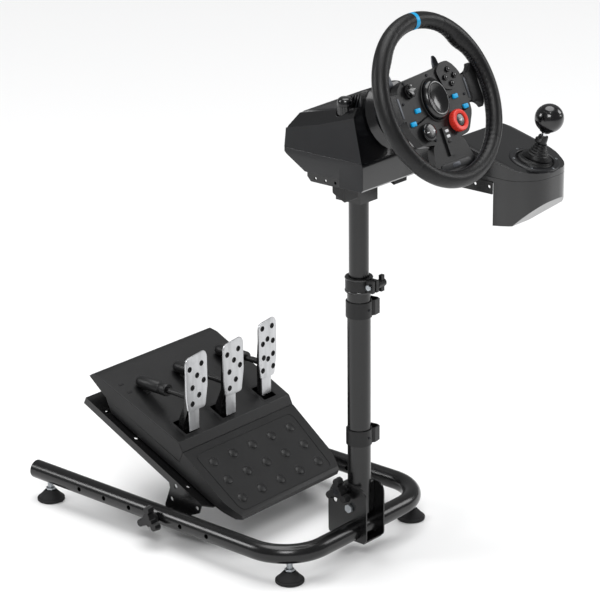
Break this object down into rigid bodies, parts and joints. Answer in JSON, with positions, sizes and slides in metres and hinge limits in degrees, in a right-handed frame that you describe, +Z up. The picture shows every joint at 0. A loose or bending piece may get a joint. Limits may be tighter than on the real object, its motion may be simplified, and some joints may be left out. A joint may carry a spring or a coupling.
{
  "type": "racing wheel stand set",
  "caption": "Folding tube stand with a telescoping column that carries a geared steering wheel unit, a gear shifter and a sloped tray with foot pedals.",
  "frame": {"origin": "on the floor, at the middle of the bounding box's underside", "axes": "+Z up; the driver sits on the -Y side and looks along +Y; +X is the driver's right, where the shifter is"},
  "size_m": [0.5554, 0.8732, 1.0076],
  "materials": {
    "coated_steel": "black powder coat, semi-gloss",
    "satin_plastic": "black moulded plastic, fine grain",
    "gloss_plastic": "black moulded plastic, polished",
    "rubber": "black rubber",
    "leather": "black stitched leather",
    "bare_steel": "brushed",
    "blue_plastic": "blue moulded plastic",
    "red_plastic": "red moulded plastic"
  },
  "bodies": {
    "base": {"base_tube": "coated_steel", "column_bracket": "coated_steel", "pivot_bolt": "bare_steel"},
    "foot_front_left": {"foot_front_left": "rubber"},
    "foot_front_right": {"foot_front_right": "rubber"},
    "foot_rear_left": {"foot_rear_left": "rubber"},
    "foot_rear_right": {"foot_rear_right": "rubber"},
    "tray_knob_left": {"tray_knob_left": "satin_plastic"},
    "tray_knob_right": {"tray_knob_right": "satin_plastic"},
    "column": {"outer_column": "coated_steel", "cable_clip_upper": "satin_plastic", "cable_clip_lower": "satin_plastic", "height_collar": "satin_plastic"},
    "tilt_knob_left": {"tilt_knob_left": "satin_plastic"},
    "tilt_knob_right": {"tilt_knob_right": "satin_plastic"},
    "height_knob": {"height_knob": "satin_plastic"},
    "head": {"inner_column": "coated_steel", "wheel_deck": "coated_steel", "base_lower_shell": "gloss_plastic", "base_upper_shell": "gloss_plastic", "shifter_deck": "coated_steel", "shifter_lower_shell": "gloss_plastic", "shifter_upper_shell": "gloss_plastic"},
    "clamp_knob_left": {"clamp_knob_left": "gloss_plastic"},
    "clamp_knob_right": {"clamp_knob_right": "gloss_plastic"},
    "clamp_foot_left": {"clamp_foot_left": "satin_plastic"},
    "clamp_foot_right": {"clamp_foot_right": "satin_plastic"},
    "steering": {"steering_shaft": "bare_steel", "rim": "leather", "spoke_frame": "satin_plastic", "hub_cap": "gloss_plastic"},
    "drive_motor": {"drive_motor": "bare_steel"},
    "paddle_left": {"paddle_left": "bare_steel"},
    "paddle_right": {"paddle_right": "bare_steel"},
    "button_top": {"button_top": "satin_plastic"},
    "button_right": {"button_right": "satin_plastic"},
    "button_bottom": {"button_bottom": "satin_plastic"},
    "button_left": {"button_left": "satin_plastic"},
    "blue_button_right_upper": {"blue_button_right_upper": "blue_plastic"},
    "blue_button_right_lower": {"blue_button_right_lower": "blue_plastic"},
    "blue_button_left_upper": {"blue_button_left_upper": "blue_plastic"},
    "blue_button_left_lower": {"blue_button_left_lower": "blue_plastic"},
    "selector_dial": {"selector_dial": "red_plastic"},
    "plus_minus_rocker": {"plus_minus_rocker": "satin_plastic"},
    "dpad": {"dpad": "gloss_plastic"},
    "shifter_gimbal": {"shifter_gimbal": "satin_plastic"},
    "lever_sleeve": {"lever_sleeve": "satin_plastic", "shifter_boot": "leather"},
    "shift_lever": {"shift_lever": "bare_steel", "ball_knob": "gloss_plastic"},
    "tray": {"pedal_tray": "coated_steel", "pedal_base": "satin_plastic", "pedal_cover": "satin_plastic", "spring_carrier": "satin_plastic"},
    "clutch_pedal": {"clutch_pedal": "bare_steel"},
    "brake_pedal": {"brake_pedal": "bare_steel"},
    "accelerator_pedal": {"accelerator_pedal": "bare_steel"},
    "clutch_rod": {"clutch_rod": "satin_plastic"},
    "brake_rod": {"brake_rod": "satin_plastic"},
    "accelerator_rod": {"accelerator_rod": "satin_plastic"}
  },
  "joints": [
    {"name": "front_left_levelling", "type": "slide", "parent": "base", "child": "foot_front_left", "axis": [0, 0, 1], "range_m": [-0.008, 0.01]},
    {"name": "front_right_levelling", "type": "slide", "parent": "base", "child": "foot_front_right", "axis": [0, 0, 1], "range_m": [-0.008, 0.01]},
    {"name": "rear_left_levelling", "type": "slide", "parent": "base", "child": "foot_rear_left", "axis": [0, 0, 1], "range_m": [-0.008, 0.01]},
    {"name": "rear_right_levelling", "type": "slide", "parent": "base", "child": "foot_rear_right", "axis": [0, 0, 1], "range_m": [-0.008, 0.01]},
    {"name": "tray_knob_left_turn", "type": "hinge", "parent": "base", "child": "tray_knob_left", "pos_m": [-0.25775, 0.11083, 0.053], "axis": [1, 0, 0], "range_deg": [-360, 0]},
    {"name": "tray_knob_right_turn", "type": "hinge", "parent": "base", "child": "tray_knob_right", "pos_m": [0.16925, 0.11083, 0.053], "axis": [1, 0, 0], "range_deg": [-360, 0]},
    {"name": "column_fold", "type": "hinge", "parent": "base", "child": "column", "pos_m": [-0.04425, -0.19637, 0.095], "axis": [1, 0, 0], "range_deg": [-35, 2]},
    {"name": "tilt_knob_left_turn", "type": "hinge", "parent": "column", "child": "tilt_knob_left", "pos_m": [-0.08025, -0.17947, 0.12679], "axis": [1, 0, 0], "range_deg": [-360, 0]},
    {"name": "tilt_knob_right_turn", "type": "hinge", "parent": "column", "child": "tilt_knob_right", "pos_m": [-0.00825, -0.17947, 0.12679], "axis": [1, 0, 0], "range_deg": [-360, 0]},
    {"name": "height_knob_turn", "type": "hinge", "parent": "column", "child": "height_knob", "pos_m": [-0.01925, -0.22707, 0.514], "axis": [1, 0, 0], "range_deg": [-360, 0]},
    {"name": "height_adjust", "type": "slide", "parent": "column", "child": "head", "axis": [0, 0, 1], "range_m": [-0.11, 0.09]},
    {"name": "clamp_knob_left_turn", "type": "hinge", "parent": "head", "child": "clamp_knob_left", "pos_m": [-0.11025, -0.22237, 0.838], "axis": [0, 0, 1], "range_deg": [-10, 1090]},
    {"name": "clamp_foot_left_travel", "type": "slide", "parent": "head", "child": "clamp_foot_left", "axis": [0, 0, 1], "range_m": [-0.00375, 0]},
    {"name": "clamp_knob_right_turn", "type": "hinge", "parent": "head", "child": "clamp_knob_right", "pos_m": [0.02175, -0.22237, 0.838], "axis": [0, 0, 1], "range_deg": [-10, 1090]},
    {"name": "clamp_foot_right_travel", "type": "slide", "parent": "head", "child": "clamp_foot_right", "axis": [0, 0, 1], "range_m": [-0.00375, 0]},
    {"name": "steering_turn", "type": "hinge", "parent": "head", "child": "steering", "pos_m": [-0.04425, -0.36637, 0.87], "axis": [0, -0.911, 0.4123], "range_deg": [-450, 450]},
    {"name": "motor_spin", "type": "hinge", "parent": "head", "child": "drive_motor", "pos_m": [-0.08025, -0.23336, 0.8098], "axis": [0, -0.911, 0.4123], "range_deg": [-1519, 1519]},
    {"name": "paddle_left_pull", "type": "hinge", "parent": "steering", "child": "paddle_left", "pos_m": [-0.08425, -0.33312, 0.85495], "axis": [0, 0.4123, 0.911], "range_deg": [0, 6], "stiffness_Nm_per_rad": 4, "springref_deg": -2.01},
    {"name": "paddle_right_pull", "type": "hinge", "parent": "steering", "child": "paddle_right", "pos_m": [-0.00425, -0.33312, 0.85495], "axis": [0, -0.4123, -0.911], "range_deg": [0, 6], "stiffness_Nm_per_rad": 4, "springref_deg": -2.01},
    {"name": "button_top_press", "type": "slide", "parent": "steering", "child": "button_top", "axis": [0, -0.911, 0.4123], "range_m": [-0.0012, 0], "stiffness_N_per_m": 600, "springref_m": 0.001},
    {"name": "button_right_press", "type": "slide", "parent": "steering", "child": "button_right", "axis": [0, -0.911, 0.4123], "range_m": [-0.0012, 0], "stiffness_N_per_m": 600, "springref_m": 0.001},
    {"name": "button_bottom_press", "type": "slide", "parent": "steering", "child": "button_bottom", "axis": [0, -0.911, 0.4123], "range_m": [-0.0012, 0], "stiffness_N_per_m": 600, "springref_m": 0.001},
    {"name": "button_left_press", "type": "slide", "parent": "steering", "child": "button_left", "axis": [0, -0.911, 0.4123], "range_m": [-0.0012, 0], "stiffness_N_per_m": 600, "springref_m": 0.001},
    {"name": "blue_button_right_upper_press", "type": "slide", "parent": "steering", "child": "blue_button_right_upper", "axis": [0, -0.911, 0.4123], "range_m": [-0.0018, 0], "stiffness_N_per_m": 500, "springref_m": 0.0015},
    {"name": "blue_button_right_lower_press", "type": "slide", "parent": "steering", "child": "blue_button_right_lower", "axis": [0, -0.911, 0.4123], "range_m": [-0.0018, 0], "stiffness_N_per_m": 500, "springref_m": 0.0015},
    {"name": "blue_button_left_upper_press", "type": "slide", "parent": "steering", "child": "blue_button_left_upper", "axis": [0, -0.911, 0.4123], "range_m": [-0.0018, 0], "stiffness_N_per_m": 500, "springref_m": 0.0015},
    {"name": "blue_button_left_lower_press", "type": "slide", "parent": "steering", "child": "blue_button_left_lower", "axis": [0, -0.911, 0.4123], "range_m": [-0.0018, 0], "stiffness_N_per_m": 500, "springref_m": 0.0015},
    {"name": "selector_dial_turn", "type": "hinge", "parent": "steering", "child": "selector_dial", "pos_m": [-0.01025, -0.3841, 0.83083], "axis": [0, -0.911, 0.4123], "continuous": true},
    {"name": "plus_minus_rock", "type": "hinge", "parent": "steering", "child": "plus_minus_rocker", "pos_m": [-0.08825, -0.37805, 0.82479], "axis": [0, 0.4123, 0.911], "range_deg": [-4, 4], "stiffness_Nm_per_rad": 1},
    {"name": "dpad_rock", "type": "hinge", "parent": "steering", "child": "dpad", "pos_m": [-0.10025, -0.34795, 0.8913], "axis": [1, 0, 0], "range_deg": [-5, 5], "stiffness_Nm_per_rad": 1},
    {"name": "lever_side_to_side", "type": "hinge", "parent": "head", "child": "shifter_gimbal", "pos_m": [0.20275, -0.37857, 0.68116], "axis": [0, 0.9659, 0.2588], "range_deg": [-14, 3], "stiffness_Nm_per_rad": 6},
    {"name": "lever_fore_aft", "type": "hinge", "parent": "shifter_gimbal", "child": "lever_sleeve", "pos_m": [0.20275, -0.37857, 0.68116], "axis": [0.9945, 0.0271, -0.101], "range_deg": [-12, 12], "stiffness_Nm_per_rad": 6},
    {"name": "lever_push_down", "type": "slide", "parent": "lever_sleeve", "child": "shift_lever", "axis": [0.1045, -0.2574, 0.9606], "range_m": [-0.006, 0], "stiffness_N_per_m": 1500, "springref_m": 0.004},
    {"name": "tray_tilt", "type": "hinge", "parent": "base", "child": "tray", "pos_m": [-0.04425, 0.11083, 0.053], "axis": [1, 0, 0], "range_deg": [-6, 10]},
    {"name": "clutch_press", "type": "hinge", "parent": "tray", "child": "clutch_pedal", "pos_m": [-0.14925, 0.13163, 0.163], "axis": [-1, 0, 0], "range_deg": [0, 16], "stiffness_Nm_per_rad": 30, "springref_deg": -6.02},
    {"name": "brake_press", "type": "hinge", "parent": "tray", "child": "brake_pedal", "pos_m": [-0.05025, 0.13163, 0.163], "axis": [-1, 0, 0], "range_deg": [0, 12], "stiffness_Nm_per_rad": 60, "springref_deg": -6.02},
    {"name": "accelerator_press", "type": "hinge", "parent": "tray", "child": "accelerator_pedal", "pos_m": [0.06575, 0.13163, 0.163], "axis": [-1, 0, 0], "range_deg": [0, 16], "stiffness_Nm_per_rad": 20, "springref_deg": -6.02},
    {"name": "clutch_rod_travel", "type": "slide", "parent": "tray", "child": "clutch_rod", "axis": [0, 1, 0], "range_m": [0, 0.02565]},
    {"name": "brake_rod_travel", "type": "slide", "parent": "tray", "child": "brake_rod", "axis": [0, 1, 0], "range_m": [0, 0.01926]},
    {"name": "accelerator_rod_travel", "type": "slide", "parent": "tray", "child": "accelerator_rod", "axis": [0, 1, 0], "range_m": [0, 0.02635]}
  ],
  "couplings": [
    {"joint": "motor_spin", "follows": "steering_turn", "ratio": -3.375},
    {"joint": "clamp_knob_left_turn", "follows": "clamp_foot_left_travel", "rad_per_m": -5026.5},
    {"joint": "clamp_knob_right_turn", "follows": "clamp_foot_right_travel", "rad_per_m": -5026.5},
    {"joint": "clutch_rod_travel", "follows": "clutch_press", "m_per_rad": 0.0915},
    {"joint": "brake_rod_travel", "follows": "brake_press", "m_per_rad": 0.0915},
    {"joint": "accelerator_rod_travel", "follows": "accelerator_press", "m_per_rad": 0.094}
  ]
}
